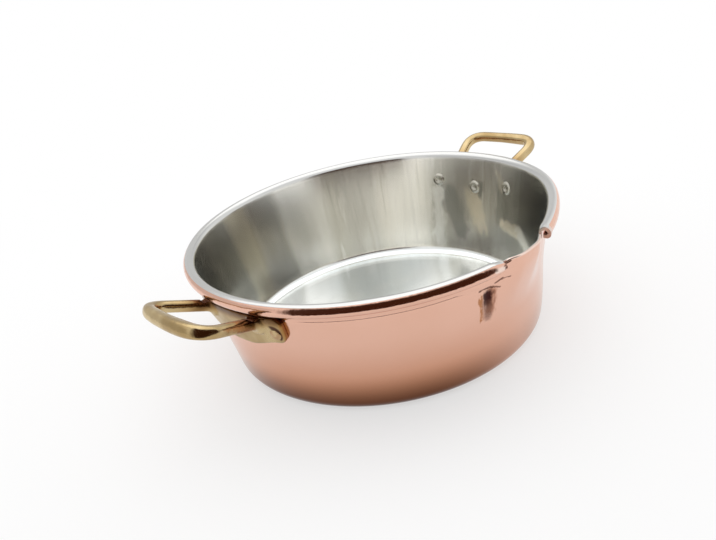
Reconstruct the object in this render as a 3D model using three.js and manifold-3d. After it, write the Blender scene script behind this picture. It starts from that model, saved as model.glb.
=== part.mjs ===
// Copper risotto pan with a pouring spout, tinned inside, with two cast brass handles.
// Millimetres, +Z up. The origin is the middle of the underside, where the pan rests.
// The handles lie along X and the spout points to -Y.
import * as THREE from "three";
import { mergeVertices } from "three/addons/utils/BufferGeometryUtils.js";
import Module from "manifold-3d";

const wasm = await Module();
wasm.setup();

// Driving dimensions of the raised copper sheet
const RIM_DIAMETER = 290; // over the rolled bead
const RIM_HEIGHT = 94.5; // from the table to the crest of the bead
const SHEET = 2; // thickness of the copper
const BASE_FLAT_DIAMETER = 226; // flat part of the base, up to the start of the corner
const CORNER_RADIUS = 10.5; // outside, between base and wall
const BEAD_DIAMETER = 9; // the rim rolled outward into a hollow bead
const CURL_TIP_GAP = 0.5; // slit between the tip of the rolled sheet and the wall
const CURL_LAP = 3.6; // degrees by which the rolled strip overlaps the top of the wall

// Spout, pressed outward where the rim isn't rolled
const SPOUT_WIDTH = 52.8; // along the rim, between the two ends of the bead
const SPOUT_REACH = 7; // how far the lip stands out of the circle
const SPOUT_DEPTH = 46; // how far down the wall the lip runs
const SPOUT_SHOULDER = 7; // along the rim, where the lip runs out past the ends of the bead
const SPOUT_CROWN = 14; // width of the middle of the lip at its full reach
const SPOUT_EDGE_RISE = 2.5; // the bare edge above the middle of the bead
const SPOUT_EDGE_RAMP = 9; // along the rim, from the end of the bead to the full rise
const SPOUT_EDGE_FADE = 8; // down the wall, where the rise runs out
const SPOUT_SPREAD = 8; // the lip gets wider on its way down, on each side

// The wall beside the spout, drawn inward when the lip was pulled
const DRAW_REACH = 3.8; // how far the wall stands inside the circle
const DRAW_OFFSET = 72; // along the rim, from the middle of the spout towards the right handle
const DRAW_HALF_WIDTH = 84; // along the rim
const DRAW_EVEN = 31; // down the wall, as far as it is drawn in fully
const DRAW_DEPTH = 82; // down the wall, where it ends

// Tin lining, wiped over the inside and over the crest of the bead
const LINING = 0.5;
const LINING_EDGE_ANGLE = 72; // degrees up the outer side of the bead where the tin ends
const SEAT_GAP = 0.3; // clearance between pieces that touch

// Cast handles: a plate that follows the wall, two arms and a grip
const PLATE_LENGTH = 91.4; // along the wall
const PLATE_THICKNESS = 3.5;
const PLATE_END_HEIGHT = 21.5;
const PLATE_BELLY = 6.5; // how much lower the plate hangs in its middle
const PLATE_BELLY_WIDTH = 86; // along the wall, where it hangs lower
const PLATE_BELLY_RUN = 30; // along the wall, over which the lower edge comes down
const PLATE_CORNER = 4.6; // radius in the outline
const PLATE_EDGE = 0.9; // worn edge of the casting
const PLATE_BELOW_BEAD = 1; // from the underside of the bead to the top of the plate
const ARM_THICKNESS = 8.2;
const ARM_INSET = 4.4; // from the top of the plate to the upper side of the arms
const ARM_FLARE = 1.32; // how much thicker an arm is where it leaves the plate
const ARM_FLARE_LENGTH = 13;
const ROOT_SPACING = 48; // between the middles of the arms at the plate
const GRIP_SPACING = 71; // between the middles of the arms at the grip
const GRIP_REACH = 41.5; // from the wall under the bead to the middle of the grip
const GRIP_RISE = 5.2; // middle of the grip above the middle of the bead
const GRIP_THICKNESS = 9.8; // in the middle
const GRIP_TAPER_END = 44; // from the middle along the loop, where it is as thin as the arms
const GRIP_BOW = 1.7; // the grip bends outward a little in its middle
const GRIP_CORNER = 16; // where arm and grip round into each other
const ROUNDNESS = 2.5; // exponent of the section, 2 is an ellipse

// Rivets, three to a handle, the middle one lower
const RIVET_SHANK = 5;
const RIVET_FROM_PLATE_END = 7.9; // along the wall, to the middle of an outer rivet
const RIVET_BELOW_PLATE_TOP = 14.1;
const RIVET_MIDDLE_DROP = 4.6;
const RIVET_HEAD = 9.6; // domed head inside the pan
const RIVET_HEAD_HEIGHT = 1.9;
const RIVET_TAIL = 8.4; // peened end on the plate
const RIVET_TAIL_HEIGHT = 1.3;
const RIVET_EDGE = 0.35; // share of a head's height below its dome
const HEAD_LIFT = 0.1; // the wall curves away under a head's flat underside

// How finely the curves are cut
const SPOUT_STEPS = 10;
const SHOULDER_STEPS = 3;
const BACK_STEPS = 48;
const CURL_STEPS = 9;
const CREST_STEPS = 4;
const CORNER_STEPS = 3;
const WALL_STEPS = 6;
const WALL_BIAS = 1.3; // above 1, the wall's rows lie closer together towards the rim
const PLATE_COLUMNS = 20;
const PLATE_ROWS = 4;
const PATH_STEPS = 36;
const SECTION_SIDES = 10;
const RIVET_SIDES = 12;
const DOME_STEPS = 3;
const SEARCH_STEP = 0.01; // radians
const WELD = 1e-5; // points this close are one

// Sizes that follow from them
const BEAD_RADIUS = BEAD_DIAMETER / 2;
const RIM_Z = RIM_HEIGHT - BEAD_RADIUS;
const BEAD_CENTRE = RIM_DIAMETER / 2 - BEAD_RADIUS;
const WALL_TOP = BEAD_CENTRE - BEAD_RADIUS + SHEET; // outer radius of the wall under the bead
const BASE_FLAT = BASE_FLAT_DIAMETER / 2;
const SPOUT_ANGLE = -Math.PI / 2;
const SPOUT_HALF = SPOUT_WIDTH / 2;
const PLATE_TOP_Z = RIM_Z - BEAD_RADIUS - PLATE_BELOW_BEAD;
const ARM_ROOT_Z = PLATE_TOP_Z - ARM_INSET - ARM_THICKNESS / 2;
const GRIP_Z = RIM_Z + GRIP_RISE;
const RIVET_PITCH = PLATE_LENGTH / 2 - RIVET_FROM_PLATE_END;
const BEAD_START = Math.PI + (CURL_LAP * Math.PI) / 180;

// Angles at which turned shapes are cut: closer together across the spout and its shoulders.
const STATIONS = (() => {
  const spout = SPOUT_HALF / BEAD_CENTRE;
  const shoulder = (SPOUT_HALF + SPOUT_SHOULDER + SPOUT_SPREAD) / BEAD_CENTRE;
  const marks = [-spout, spout, shoulder, 2 * Math.PI - shoulder, 2 * Math.PI - spout];
  const steps = [SPOUT_STEPS, SHOULDER_STEPS, BACK_STEPS, SHOULDER_STEPS];
  const angles = [SPOUT_ANGLE + marks[0]];
  steps.forEach((count, k) => {
    for (let i = 1; i <= count; i += 1) {
      angles.push(SPOUT_ANGLE + marks[k] + ((marks[k + 1] - marks[k]) * i) / count);
    }
  });
  return angles;
})();
const RIM_STEPS = STATIONS.length - 1;

// The wall is a straight line from the corner's arc to the bead, tangent to the arc.
const WALL_LEAN = (() => {
  const dr = WALL_TOP - BASE_FLAT;
  const dz = RIM_Z - CORNER_RADIUS;
  return Math.atan2(dr, dz) - Math.asin(CORNER_RADIUS / Math.hypot(dr, dz));
})();

// Radius of the copper's outer surface on the wall, at a height.
function wallRadius(z) {
  return WALL_TOP - (RIM_Z - z) * Math.tan(WALL_LEAN);
}

function smooth(t) {
  const c = Math.min(1, Math.max(0, t));
  return c * c * (3 - 2 * c);
}

// Signed distance along the rim from an angle to another, at the bead's middle radius.
function alongRim(angle, from) {
  const turn = Math.atan2(Math.sin(angle - from), Math.cos(angle - from));
  return turn * BEAD_CENTRE;
}

// How far the sheet stands outside its circle, at an angle and a height.
function formReach(angle, z) {
  const s = alongRim(angle, SPOUT_ANGLE);
  const down = Math.max(0, RIM_Z - z);
  const half = SPOUT_HALF + SPOUT_SHOULDER + SPOUT_SPREAD * Math.min(1, down / SPOUT_DEPTH);
  const side = (half - Math.abs(s)) / (half - SPOUT_CROWN / 2);
  const lip = SPOUT_REACH * smooth(side) * smooth(1 - down / SPOUT_DEPTH);
  const aside = Math.abs(s - DRAW_OFFSET) / DRAW_HALF_WIDTH;
  const draw = DRAW_REACH * smooth(1 - aside) * smooth((DRAW_DEPTH - down) / (DRAW_DEPTH - DRAW_EVEN));
  return lip - draw;
}

// How much the bare edge stands above the middle of the bead, at an angle.
function edgeRise(angle) {
  const s = Math.abs(alongRim(angle, SPOUT_ANGLE));
  return SPOUT_EDGE_RISE * smooth((SPOUT_HALF - s) / SPOUT_EDGE_RAMP);
}

// Moves the points of a turned shape to where the spout's forming takes them.
function form(geometry) {
  const p = geometry.getAttribute("position");
  for (let i = 0; i < p.count; i += 1) {
    const r = Math.hypot(p.getX(i), p.getY(i));
    if (r < SHEET) continue;
    const angle = Math.atan2(p.getY(i), p.getX(i));
    const z = p.getZ(i);
    const rise = edgeRise(angle) * smooth(1 - (RIM_Z - z) / SPOUT_EDGE_FADE);
    const k = (r + formReach(angle, z)) / r;
    p.setXYZ(i, p.getX(i) * k, p.getY(i) * k, z + rise);
  }
  return geometry;
}

// Makes a solid of a closed geometry, with its faces turned outward.
function solid(geometry) {
  const bare = new THREE.BufferGeometry();
  bare.setAttribute("position", geometry.getAttribute("position"));
  if (geometry.index) bare.setIndex(geometry.index);
  const merged = mergeVertices(bare, WELD);
  const p = merged.getAttribute("position");
  const index = merged.index.array;
  const a = new THREE.Vector3();
  const b = new THREE.Vector3();
  const c = new THREE.Vector3();
  const kept = [];
  let volume = 0;
  for (let i = 0; i < index.length; i += 3) {
    const [ia, ib, ic] = [index[i], index[i + 1], index[i + 2]];
    if (ia === ib || ib === ic || ia === ic) continue;
    kept.push(ia, ib, ic);
    a.fromBufferAttribute(p, ia);
    b.fromBufferAttribute(p, ib);
    c.fromBufferAttribute(p, ic);
    volume += a.dot(b.cross(c));
  }
  if (volume < 0) kept.reverse();
  const mesh = new wasm.Mesh({
    numProp: 3,
    vertProperties: new Float32Array(p.array),
    triVerts: new Uint32Array(kept),
  });
  return new wasm.Manifold(mesh);
}

function toGeometry(body) {
  const mesh = body.getMesh();
  const geometry = new THREE.BufferGeometry();
  geometry.setAttribute("position", new THREE.BufferAttribute(mesh.vertProperties, 3));
  geometry.setIndex(new THREE.BufferAttribute(mesh.triVerts, 1));
  geometry.computeVertexNormals();
  return geometry;
}

// Turns a profile of [radius, height] pairs about Z, cut at the stations.
function turned(profile) {
  const points = profile.map(([r, z]) => new THREE.Vector2(r, z));
  const geometry = new THREE.LatheGeometry(points, RIM_STEPS);
  const p = geometry.getAttribute("position");
  for (let i = 0; i < p.count; i += 1) {
    const angle = STATIONS[Math.floor(i / points.length) % RIM_STEPS];
    const [r, z] = profile[i % points.length];
    p.setXYZ(i, r * Math.cos(angle), r * Math.sin(angle), z);
  }
  return geometry;
}

// Turns a closed section round the beaded part of the rim only and closes both ends.
function turnedBead(section) {
  const shape = new THREE.Shape(section.map(([r, z]) => new THREE.Vector2(r, z)));
  const steps = RIM_STEPS - SPOUT_STEPS;
  const geometry = new THREE.ExtrudeGeometry(shape, { depth: steps, steps, bevelEnabled: false });
  const p = geometry.getAttribute("position");
  for (let i = 0; i < p.count; i += 1) {
    const r = p.getX(i);
    const angle = STATIONS[SPOUT_STEPS + Math.round(p.getZ(i))];
    p.setXYZ(i, r * Math.cos(angle), r * Math.sin(angle), p.getY(i));
  }
  return geometry;
}

// A closed skin of a grid of points: rows[i][j], where j goes round and both ends are capped.
function skin(rows) {
  const positions = [];
  const index = [];
  const around = rows[0].length;
  const push = (v) => positions.push(v.x, v.y, v.z);
  rows.forEach((row) => row.forEach(push));
  for (let i = 0; i + 1 < rows.length; i += 1) {
    for (let j = 0; j < around; j += 1) {
      const k = (j + 1) % around;
      const [a, b, c, d] = [i * around + j, i * around + k, (i + 1) * around + k, (i + 1) * around + j];
      index.push(a, b, c, a, c, d);
    }
  }
  for (const [row, flip] of [[0, true], [rows.length - 1, false]]) {
    const middle = rows[row].reduce((sum, v) => sum.add(v), new THREE.Vector3());
    push(middle.divideScalar(around));
    const hub = positions.length / 3 - 1;
    for (let j = 0; j < around; j += 1) {
      const [a, b] = [row * around + j, row * around + ((j + 1) % around)];
      index.push(hub, flip ? b : a, flip ? a : b);
    }
  }
  const geometry = new THREE.BufferGeometry();
  geometry.setAttribute("position", new THREE.BufferAttribute(new Float32Array(positions), 3));
  geometry.setIndex(index);
  return geometry;
}

// The copper's outer surface moved inward by a distance: axis, flat base, corner arc, wall.
function panLine(inset, topZ) {
  const points = [[0, inset]];
  const radius = CORNER_RADIUS - inset;
  for (let i = 0; i <= CORNER_STEPS; i += 1) {
    const turn = (i / CORNER_STEPS) * (Math.PI / 2 - WALL_LEAN);
    points.push([BASE_FLAT + radius * Math.sin(turn), CORNER_RADIUS - radius * Math.cos(turn)]);
  }
  const [r0, z0] = points[points.length - 1];
  for (let i = 1; i <= WALL_STEPS; i += 1) {
    const t = i / WALL_STEPS;
    const z = z0 + (topZ - z0) * (1 - (1 - t) ** WALL_BIAS);
    points.push([r0 + (z - z0) * Math.tan(WALL_LEAN), z]);
  }
  return points;
}

// A bent strip round the middle of the bead, between two radii, from one angle to another.
function beadStrip(inner, outer, from, to, steps) {
  const arc = (radius) => {
    const points = [];
    for (let i = 0; i <= steps; i += 1) {
      const a = from + ((to - from) * i) / steps;
      points.push([BEAD_CENTRE + radius * Math.cos(a), RIM_Z + radius * Math.sin(a)]);
    }
    return points;
  };
  return [...arc(outer), ...arc(inner).reverse()];
}

// The tip of the curl stops short of the wall by the slit.
function curlTipAngle() {
  const reach = BEAD_RADIUS - SHEET / 2;
  let tip = -Math.PI / 2;
  while (tip > -Math.PI) {
    const a = tip - SEARCH_STEP;
    const r = BEAD_CENTRE + reach * Math.cos(a);
    const z = RIM_Z + reach * Math.sin(a);
    if (r - wallRadius(z) < SHEET / 2 + CURL_TIP_GAP) break;
    tip = a;
  }
  return tip;
}

// Where the rivets stand: angle from the handle's middle, and height at the wall.
const RIVETS = [-1, 0, 1].map((side) => {
  const z = PLATE_TOP_Z - RIVET_BELOW_PLATE_TOP - (side === 0 ? RIVET_MIDDLE_DROP : 0);
  return { side, angle: (side * RIVET_PITCH) / wallRadius(z), z };
});

// Places an object at a rivet, its own X axis along the wall's outward normal.
function placeAtRivet(object, rivet, handleAngle) {
  const angle = handleAngle + rivet.angle;
  const radius = wallRadius(rivet.z);
  object.position.set(radius * Math.cos(angle), radius * Math.sin(angle), rivet.z);
  object.rotation.set(0, WALL_LEAN, angle, "ZYX");
  object.updateMatrixWorld(true);
  return object;
}

// Holes for the six shanks.
function rivetHoles(handleAngle) {
  const length = RIVET_HEAD + 2 * (SHEET + LINING + PLATE_THICKNESS);
  const radius = RIVET_SHANK / 2 + SEAT_GAP;
  return RIVETS.map((rivet) => {
    const drill = new THREE.CylinderGeometry(radius, radius, length, RIVET_SIDES).rotateZ(Math.PI / 2);
    const place = placeAtRivet(new THREE.Object3D(), rivet, handleAngle);
    return solid(drill.applyMatrix4(place.matrixWorld));
  });
}

const HANDLE_ANGLES = { right: 0, left: Math.PI };
const ALL_HOLES = Object.values(HANDLE_ANGLES).flatMap(rivetHoles);

function drilled(body) {
  return ALL_HOLES.reduce((rest, hole) => rest.subtract(hole), body);
}

// Raised copper sheet: base, corner, wall and spout in one, with the rim rolled into a bead.
function panBody() {
  const outside = panLine(0, RIM_Z);
  const inside = panLine(SHEET, RIM_Z).reverse();
  const sheet = solid(form(turned([...outside, ...inside])));
  const strip = beadStrip(BEAD_RADIUS - SHEET, BEAD_RADIUS, BEAD_START, curlTipAngle(), CURL_STEPS);
  const curl = solid(form(turnedBead(strip)));
  return drilled(sheet.add(curl));
}

// Tin over the inside and over the crest of the bead.
function tinLining() {
  // The back runs down, as the copper's inside does, so that their facets lie parallel.
  const back = panLine(SHEET + SEAT_GAP, RIM_Z).reverse();
  const face = panLine(SHEET + SEAT_GAP + LINING, RIM_Z);
  const bowl = solid(form(turned([...face, ...back])));
  const inner = BEAD_RADIUS + SEAT_GAP;
  const edge = (LINING_EDGE_ANGLE * Math.PI) / 180;
  const strip = beadStrip(inner, inner + LINING, BEAD_START, edge, CREST_STEPS);
  const crest = solid(form(turnedBead(strip)));
  return drilled(bowl.add(crest));
}

// A point at a length along the wall, a height and a distance off the wall.
function atWall(s, z, off) {
  const r = wallRadius(z) + off;
  const angle = s / WALL_TOP;
  return new THREE.Vector3(r * Math.cos(angle), r * Math.sin(angle), z);
}

// Plate of a handle: columns along the wall, each a closed ring of front and back points.
// Its back lies in the sheet, and wallSpace() cuts it off at the clearance.
function handlePlate() {
  const half = PLATE_LENGTH / 2;
  const rows = [];
  for (let i = 0; i <= PLATE_COLUMNS; i += 1) {
    const s = -half * Math.cos((Math.PI * i) / PLATE_COLUMNS);
    const past = Math.max(0, Math.abs(s) - (half - PLATE_CORNER));
    const cut = PLATE_CORNER - Math.sqrt(Math.max(0, PLATE_CORNER ** 2 - past ** 2));
    const belly = PLATE_BELLY * smooth((PLATE_BELLY_WIDTH / 2 - Math.abs(s)) / PLATE_BELLY_RUN);
    const top = PLATE_TOP_Z - cut;
    const bottom = PLATE_TOP_Z - PLATE_END_HEIGHT - belly + cut;
    const worn = i === 0 || i === PLATE_COLUMNS ? PLATE_EDGE : 0;
    const front = [];
    const behind = [];
    for (let j = 0; j <= PLATE_ROWS; j += 1) {
      const t = j / PLATE_ROWS;
      const z = bottom + (top - bottom) * (0.5 - 0.5 * Math.cos(Math.PI * t));
      const edge = j === 0 || j === PLATE_ROWS ? PLATE_EDGE : worn;
      front.push(atWall(s, z, SEAT_GAP + PLATE_THICKNESS - edge));
      behind.push(atWall(s, z, -SHEET));
    }
    rows.push([...front, ...behind.reverse()]);
  }
  return solid(skin(rows));
}

// Middle line of the loop: out along one arm, round the grip and back along the other.
// Both ends start inside the wall, where wallSpace() cuts them off.
function loopPath() {
  const gripX = WALL_TOP + GRIP_REACH;
  const rootX = WALL_TOP - 2 * SHEET;
  const root = (side) => new THREE.Vector3(rootX, (side * ROOT_SPACING) / 2, ARM_ROOT_Z);
  const corner = (side) => new THREE.Vector3(gripX, (side * GRIP_SPACING) / 2, GRIP_Z);
  const middle = new THREE.Vector3(gripX + 2 * GRIP_BOW, 0, GRIP_Z);
  const onArm = (side) => corner(side).lerp(root(side), GRIP_CORNER / corner(side).distanceTo(root(side)));
  const onGrip = (side) => corner(side).lerp(middle, GRIP_CORNER / corner(side).distanceTo(middle));
  const path = new THREE.CurvePath();
  path.add(new THREE.LineCurve3(root(-1), onArm(-1)));
  path.add(new THREE.QuadraticBezierCurve3(onArm(-1), corner(-1), onGrip(-1)));
  path.add(new THREE.QuadraticBezierCurve3(onGrip(-1), middle, onGrip(1)));
  path.add(new THREE.QuadraticBezierCurve3(onGrip(1), corner(1), onArm(1)));
  path.add(new THREE.LineCurve3(onArm(1), root(1)));
  return path;
}

// Arms and grip: a rounded section along the loop, thickest at the grip and at the roots.
function handleLoop() {
  const path = loopPath();
  const length = path.getLength();
  const points = path.getSpacedPoints(PATH_STEPS);
  const rise = Math.atan2(GRIP_Z - ARM_ROOT_Z, GRIP_REACH + 2 * SHEET);
  const up = new THREE.Vector3(-Math.sin(rise), 0, Math.cos(rise));
  const rows = points.map((point, i) => {
    const before = points[Math.max(0, i - 1)];
    const after = points[Math.min(PATH_STEPS, i + 1)];
    const ahead = after.clone().sub(before).normalize();
    const across = new THREE.Vector3().crossVectors(up, ahead).normalize();
    const along = (i / PATH_STEPS) * length;
    const fromEnd = Math.min(along, length - along);
    const fromMiddle = Math.abs(along - length / 2);
    const grip = smooth((GRIP_TAPER_END - fromMiddle) / (GRIP_SPACING / 2));
    const flare = 1 + (ARM_FLARE - 1) * smooth(1 - fromEnd / ARM_FLARE_LENGTH);
    const half = (ARM_THICKNESS + (GRIP_THICKNESS - ARM_THICKNESS) * grip) * 0.5 * flare;
    const ring = [];
    for (let j = 0; j < SECTION_SIDES; j += 1) {
      const a = (2 * Math.PI * (j + 0.5)) / SECTION_SIDES;
      const [c, s] = [Math.cos(a), Math.sin(a)];
      const k = (Math.abs(c) ** ROUNDNESS + Math.abs(s) ** ROUNDNESS) ** (-1 / ROUNDNESS);
      ring.push(point.clone().addScaledVector(across, half * k * c).addScaledVector(up, half * k * s));
    }
    return ring;
  });
  return solid(skin(rows));
}

// Everything inside the wall and its clearance, which the casting mustn't reach.
function wallSpace() {
  const line = panLine(-SEAT_GAP / Math.cos(WALL_LEAN), RIM_Z + BEAD_DIAMETER);
  return solid(turned([...line, [0, RIM_Z + BEAD_DIAMETER]]));
}

function handle() {
  const casting = handlePlate().add(handleLoop()).subtract(wallSpace());
  return rivetHoles(0).reduce((rest, hole) => rest.subtract(hole), casting);
}

// A rivet along X: domed head inside the pan, shank, and the peened end on the plate.
function rivetShape() {
  const headSeat = -(SHEET + SEAT_GAP + LINING + SEAT_GAP + HEAD_LIFT);
  const tailSeat = SEAT_GAP + PLATE_THICKNESS + SEAT_GAP;
  const dome = (radius, height, seat, way) => {
    const points = [];
    for (let i = 0; i <= DOME_STEPS; i += 1) {
      const a = (Math.PI / 2) * (i / DOME_STEPS);
      const lift = height * (RIVET_EDGE + (1 - RIVET_EDGE) * Math.cos(a));
      points.push([radius * Math.sin(a), seat + way * lift]);
    }
    points.push([radius, seat]);
    return points;
  };
  const profile = [
    ...dome(RIVET_HEAD / 2, RIVET_HEAD_HEIGHT, headSeat, -1),
    [RIVET_SHANK / 2, headSeat],
    [RIVET_SHANK / 2, tailSeat],
    ...dome(RIVET_TAIL / 2, RIVET_TAIL_HEIGHT, tailSeat, 1).reverse(),
  ];
  const points = profile.map(([r, x]) => new THREE.Vector2(r, x));
  return new THREE.LatheGeometry(points, RIVET_SIDES).rotateZ(-Math.PI / 2);
}

// Materials
function metal(color, roughness) {
  return new THREE.MeshStandardMaterial({ color, roughness, metalness: 1 });
}

function piece(name, geometry, material) {
  const mesh = new THREE.Mesh(geometry, material);
  mesh.name = name;
  return mesh;
}

// Assembly
const pan = new THREE.Group();
pan.name = "risotto_pan";
pan.add(piece("pan_body", toGeometry(panBody()), metal(0xd9936f, 0.18)));
pan.add(piece("tin_lining", toGeometry(tinLining()), metal(0xb9b6ae, 0.3)));

const PLACES = { "-1": "front", 0: "middle", 1: "rear" };
for (const [side, angle] of Object.entries(HANDLE_ANGLES)) {
  const casting = piece(`handle_${side}`, toGeometry(handle()), metal(0xc6a052, 0.28));
  casting.rotation.z = angle;
  pan.add(casting);
  for (const rivet of RIVETS) {
    const along = side === "right" ? rivet.side : -rivet.side;
    const name = `rivet_${side}_${PLACES[along]}`;
    const mesh = piece(name, toGeometry(solid(rivetShape())), metal(0xb8a06a, 0.35));
    pan.add(placeAtRivet(mesh, rivet, angle));
  }
}

export default pan;
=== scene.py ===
# %% [markdown]
# # A copper risotto pan, dressed for its portrait
# The packed solids come in as a frame that never changes. Each is then replaced by a finer surface
# worked out from a formula, in the same place and at the same size, with a metal of its own.
# Lengths are in millimetres, and every mesh is scaled to metres as it is made.

import math

import bpy
import numpy as np
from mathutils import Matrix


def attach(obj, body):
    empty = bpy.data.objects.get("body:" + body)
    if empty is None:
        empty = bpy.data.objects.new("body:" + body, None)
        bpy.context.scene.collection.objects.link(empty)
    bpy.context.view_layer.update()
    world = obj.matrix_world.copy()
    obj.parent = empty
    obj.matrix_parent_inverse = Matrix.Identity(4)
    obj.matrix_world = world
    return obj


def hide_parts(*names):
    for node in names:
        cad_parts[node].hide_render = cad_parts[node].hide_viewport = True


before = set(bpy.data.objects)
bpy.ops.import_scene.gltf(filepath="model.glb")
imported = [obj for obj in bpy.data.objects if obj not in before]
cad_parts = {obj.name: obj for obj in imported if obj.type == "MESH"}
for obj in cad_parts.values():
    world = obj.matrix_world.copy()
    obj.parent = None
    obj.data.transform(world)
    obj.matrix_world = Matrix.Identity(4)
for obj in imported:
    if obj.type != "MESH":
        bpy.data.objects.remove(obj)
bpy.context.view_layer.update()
print("solids:", sorted(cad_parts))

# %% [markdown]
# ## The pan in a few numbers
# A few lengths describe a turned shape. The wall is a straight line that just touches the round
# corner of the base, so its lean follows from the other sizes.

# %% Sizes of the pan
MM = 0.001  # a millimetre in metres
RIM_Z = 90.0  # middle of the bead above the table
BEAD = 4.5  # radius of the rolled bead
BEAD_CENTRE = 140.5  # from the pan's axis to the middle of the bead
SHEET = 2.0  # thickness of the copper
WALL_TOP = 138.0  # outer radius of the wall at the height of the bead's middle
BASE_FLAT = 113.0  # radius of the flat base
CORNER = 10.5  # outer radius of the corner between base and wall
SPOUT_ANGLE = -math.pi / 2  # the spout points along -Y
SPOUT_HALF = 26.4  # along the rim, from the spout's middle to the end of the bead

run, climb = WALL_TOP - BASE_FLAT, RIM_Z - CORNER
LEAN = math.atan2(run, climb) - math.asin(CORNER / math.hypot(run, climb))
print("the wall leans out by", round(math.degrees(LEAN), 2), "degrees")

# %% [markdown]
# ## From arrays to meshes
# A surface here is a grid of points computed as whole arrays. Helpers list a grid's faces and join
# closed shells into a piece. The sign of a shell's volume says whether its faces look out. Shading
# is smooth except over a clear angle.

# %% Grid helpers
def grid_faces(rows, columns, closed=False):
    """Quads from each point (i, j) to its next neighbours; closed joins last column to first."""
    i, j = np.arange(rows - 1), np.arange(columns if closed else columns - 1)
    i, j = np.meshgrid(i, j, indexing="ij")
    here, beside = i * columns + j, i * columns + (j + 1) % columns
    return np.stack([here, beside, beside + columns, here + columns], -1).reshape(-1, 4)


def signed_volume(points, faces):
    """Six times the volume inside: a . (b x c) summed over a fan of each face."""
    total = 0.0
    for block in faces:
        a = points[block[:, 0]]
        for k in range(1, block.shape[1] - 1):
            b, c = points[block[:, k]], points[block[:, k + 1]]
            total += float(np.einsum("ij,ij->", a, np.cross(b, c)))
    return total


def link_object(name, data):
    """A new object in the scene, for a mesh, a camera or a light."""
    thing = bpy.data.objects.new(name, data)
    bpy.context.scene.collection.objects.link(thing)
    return thing


def add_mesh(name, points, faces):
    """A new mesh object at the origin, from points in metres and arrays of faces."""
    mesh = bpy.data.meshes.new(name)
    mesh.from_pydata(points.tolist(), [], [face for block in faces for face in block.tolist()])
    mesh.update()
    return link_object(name, mesh)


def make_piece(name, shells, crisp=35.0):
    """Joins closed shells, each (points in mm, arrays of faces); turns faces that look in."""
    points, faces, start = [], [], 0
    for shell_points, shell_faces in shells:
        step = -1 if signed_volume(shell_points, shell_faces) < 0 else 1
        faces += [block[:, ::step] + start for block in shell_faces]
        points.append(shell_points)
        start += len(shell_points)
    piece = add_mesh(name, np.concatenate(points) * MM, faces)
    mesh = piece.data
    mesh.polygons.foreach_set("use_smooth", np.ones(len(mesh.polygons), bool))
    mesh.set_sharp_from_angle(angle=math.radians(crisp))
    print(name, len(mesh.vertices), "points,", len(mesh.polygons), "faces")
    return piece


print("a grid of 3 by 4 points has", len(grid_faces(3, 4)), "faces")

# %% [markdown]
# ## Pressing the spout
# The pan is round until the spout is pressed. One forming function of the angle and the height says
# how far the sheet leaves its circle, and copper and tin both go through it. To the right of the
# spout the wall was drawn in a little, and two soft dents stay where the wall turns into the lip.

# %% The forming function
SPOUT_REACH = 7.0  # how far the lip stands out of the circle
SPOUT_DEPTH = 46.0  # how far down the wall the pressing reaches
SPOUT_CROWN = 7.0  # half of the stretch that is pushed out in full
SPOUT_SHOULDER, SPOUT_SPREAD = 7.0, 8.0  # how much wider it is than the gap, and at its foot
DRAWN_IN, DRAWN_AT, DRAWN_OVER = 3.8, 72.0, 84.0  # depth, place along the rim, half its length
DRAWN_FULL, DRAWN_END = 31.0, 82.0  # down the wall: in full to here, nothing from here on
EDGE_LIFT, LIFT_OVER, LIFT_BELOW = 2.5, 9.0, 8.0  # of the bare edge; from its ends, downward
DENTS = (  # depth, place along the rim, width; down the wall: begins, is full, fades, ends
    (0.8, -33.5, 3.2, 11, 18, 22, 42),
    (0.5, 30.0, 3.0, 2, 8, 16, 30),
)


def smooth(t):
    """Smooth step: 3t^2 - 2t^3 with t held between 0 and 1."""
    t = np.clip(t, 0.0, 1.0)
    return t * t * (3 - 2 * t)


def bell(t):
    """Bell curve: e to the power -t^2."""
    return np.exp(-(t**2))


def wall_radius(z):
    """Radius of the copper's outer side on the straight wall, at a height."""
    return WALL_TOP - (RIM_Z - z) * math.tan(LEAN)


def along_rim(x, y):
    """Signed length along the rim from the spout's middle to a point's angle."""
    angle = np.arctan2(y, x) - SPOUT_ANGLE
    return np.arctan2(np.sin(angle), np.cos(angle)) * BEAD_CENTRE


def form(points):
    """Pushes points out at the lip and in beside it, and lifts the lip's bare edge.

    Every term is a depth times smooth steps of the length along the rim and of the way down.
    """
    x, y, z = points.T
    s, down = along_rim(x, y), np.maximum(0.0, RIM_Z - z)
    half = SPOUT_HALF + SPOUT_SHOULDER + SPOUT_SPREAD * np.minimum(1.0, down / SPOUT_DEPTH)
    lip = SPOUT_REACH * smooth((half - abs(s)) / (half - SPOUT_CROWN))
    lip *= smooth(1 - down / SPOUT_DEPTH)
    drawn = DRAWN_IN * smooth(1 - abs(s - DRAWN_AT) / DRAWN_OVER)
    drawn *= smooth((DRAWN_END - down) / (DRAWN_END - DRAWN_FULL))
    for depth, at, width, begins, full, fades, ends in DENTS:
        seen = smooth((down - begins) / (full - begins)) * smooth((ends - down) / (ends - fades))
        drawn += depth * bell((s - at) / width) * seen
    rise = EDGE_LIFT * smooth((SPOUT_HALF - abs(s)) / LIFT_OVER)
    rise *= smooth(1 - (RIM_Z - z) / LIFT_BELOW)
    push = 1 + (lip - drawn) / np.maximum(np.hypot(x, y), 1.0)
    return np.stack([x * push, y * push, z + rise], -1)


SPOUT_STATIONS, BEAD_STATIONS = 61, 361
spout_edge = SPOUT_HALF / BEAD_CENTRE
spout_angles = SPOUT_ANGLE + np.linspace(-spout_edge, spout_edge, SPOUT_STATIONS)
bead_angles = SPOUT_ANGLE + np.linspace(spout_edge, 2 * math.pi - spout_edge, BEAD_STATIONS)
print("the lip has", SPOUT_STATIONS, "stations and the bead has", BEAD_STATIONS)

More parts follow.
